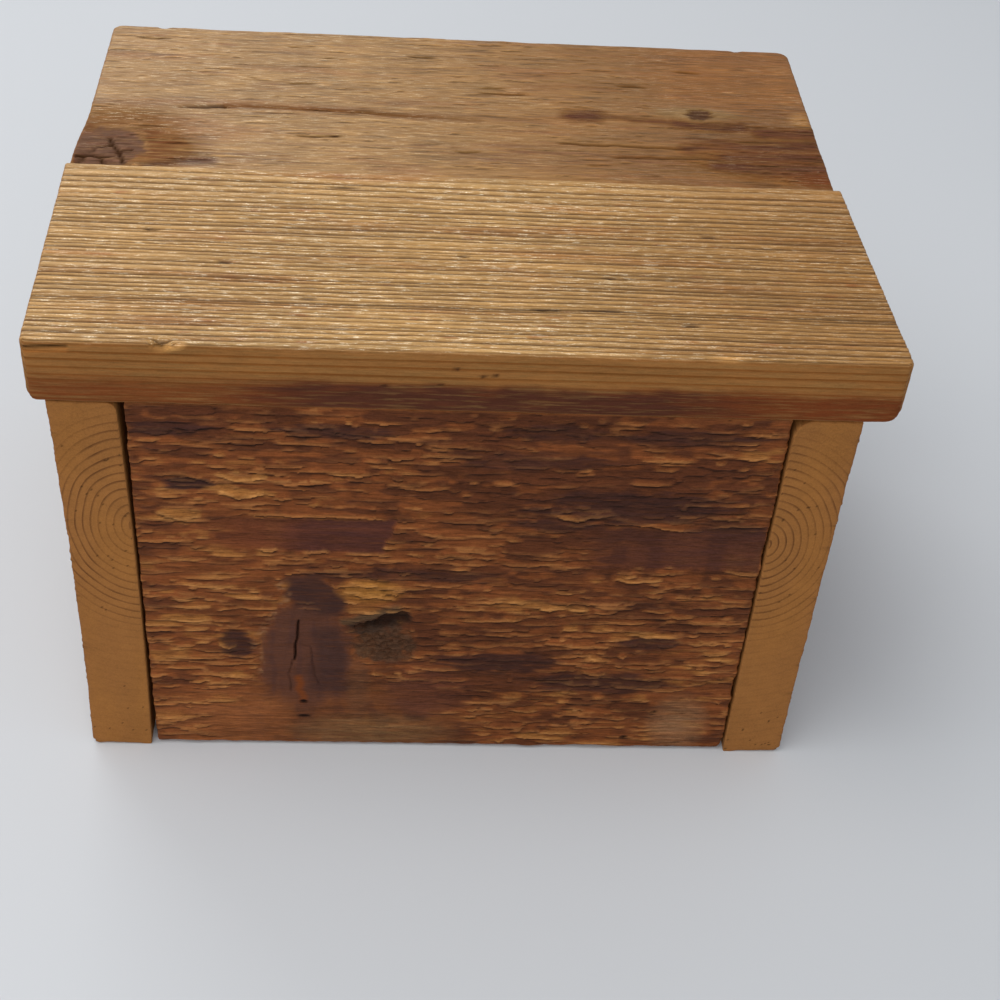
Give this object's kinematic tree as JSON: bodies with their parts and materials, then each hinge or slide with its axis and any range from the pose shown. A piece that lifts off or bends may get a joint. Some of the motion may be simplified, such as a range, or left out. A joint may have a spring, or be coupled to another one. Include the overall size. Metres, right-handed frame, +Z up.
{
  "type": "storage box",
  "caption": "Rustic wooden storage box of reclaimed boards: rough front between end-grain sides, and a board lid that overhangs the sides and is hinged at the back.",
  "frame": {"origin": "on the floor under the middle of the carcass, on the underside of the front floor board", "axes": "+X to the right along the length of the boards, +Y to the back where the hinges are, +Z up"},
  "size_m": [0.2744, 0.2158, 0.1832],
  "materials": {
    "side_wood": "weathered faces, sawn and oiled end grain",
    "front_wood": "rough, torn and flaked, oiled",
    "inner_wood": "sawn, dry",
    "lid_front_wood": "brushed grain, oiled, slight sheen",
    "lid_rear_wood": "weathered, knotty, oiled",
    "cleat_wood": "planed, dry",
    "hinge_brass": "aged, satin",
    "hinge_screw_brass": "aged, satin",
    "screw_steel": "zinc plated",
    "nail_steel": "dull, lightly rusted"
  },
  "bodies": {
    "carcass": {"left_side_board": "side_wood", "right_side_board": "side_wood", "front_board": "front_wood", "back_board": "inner_wood", "floor_front_board": "inner_wood", "floor_rear_board": "inner_wood", "left_hinge_back_leaf": "hinge_brass", "right_hinge_back_leaf": "hinge_brass", "left_hinge_pin": "hinge_brass", "right_hinge_pin": "hinge_brass", "left_hinge_back_screws": "hinge_screw_brass", "right_hinge_back_screws": "hinge_screw_brass", "left_front_corner_nails": "nail_steel", "left_rear_corner_nails": "nail_steel", "left_floor_nails": "nail_steel", "right_front_corner_nails": "nail_steel", "right_rear_corner_nails": "nail_steel", "right_floor_nails": "nail_steel"},
    "lid": {"lid_front_board": "lid_front_wood", "lid_rear_board": "lid_rear_wood", "left_lid_cleat": "cleat_wood", "right_lid_cleat": "cleat_wood", "left_lid_cleat_screws": "screw_steel", "right_lid_cleat_screws": "screw_steel", "left_hinge_lid_leaf": "hinge_brass", "right_hinge_lid_leaf": "hinge_brass", "left_hinge_lid_screws": "hinge_screw_brass", "right_hinge_lid_screws": "hinge_screw_brass"}
  },
  "joints": [
    {"name": "lid_hinge", "type": "hinge", "parent": "carcass", "child": "lid", "pos_m": [0, 0.1077, 0.1601], "axis": [-1, 0, 0], "range_deg": [0, 190]}
  ]
}
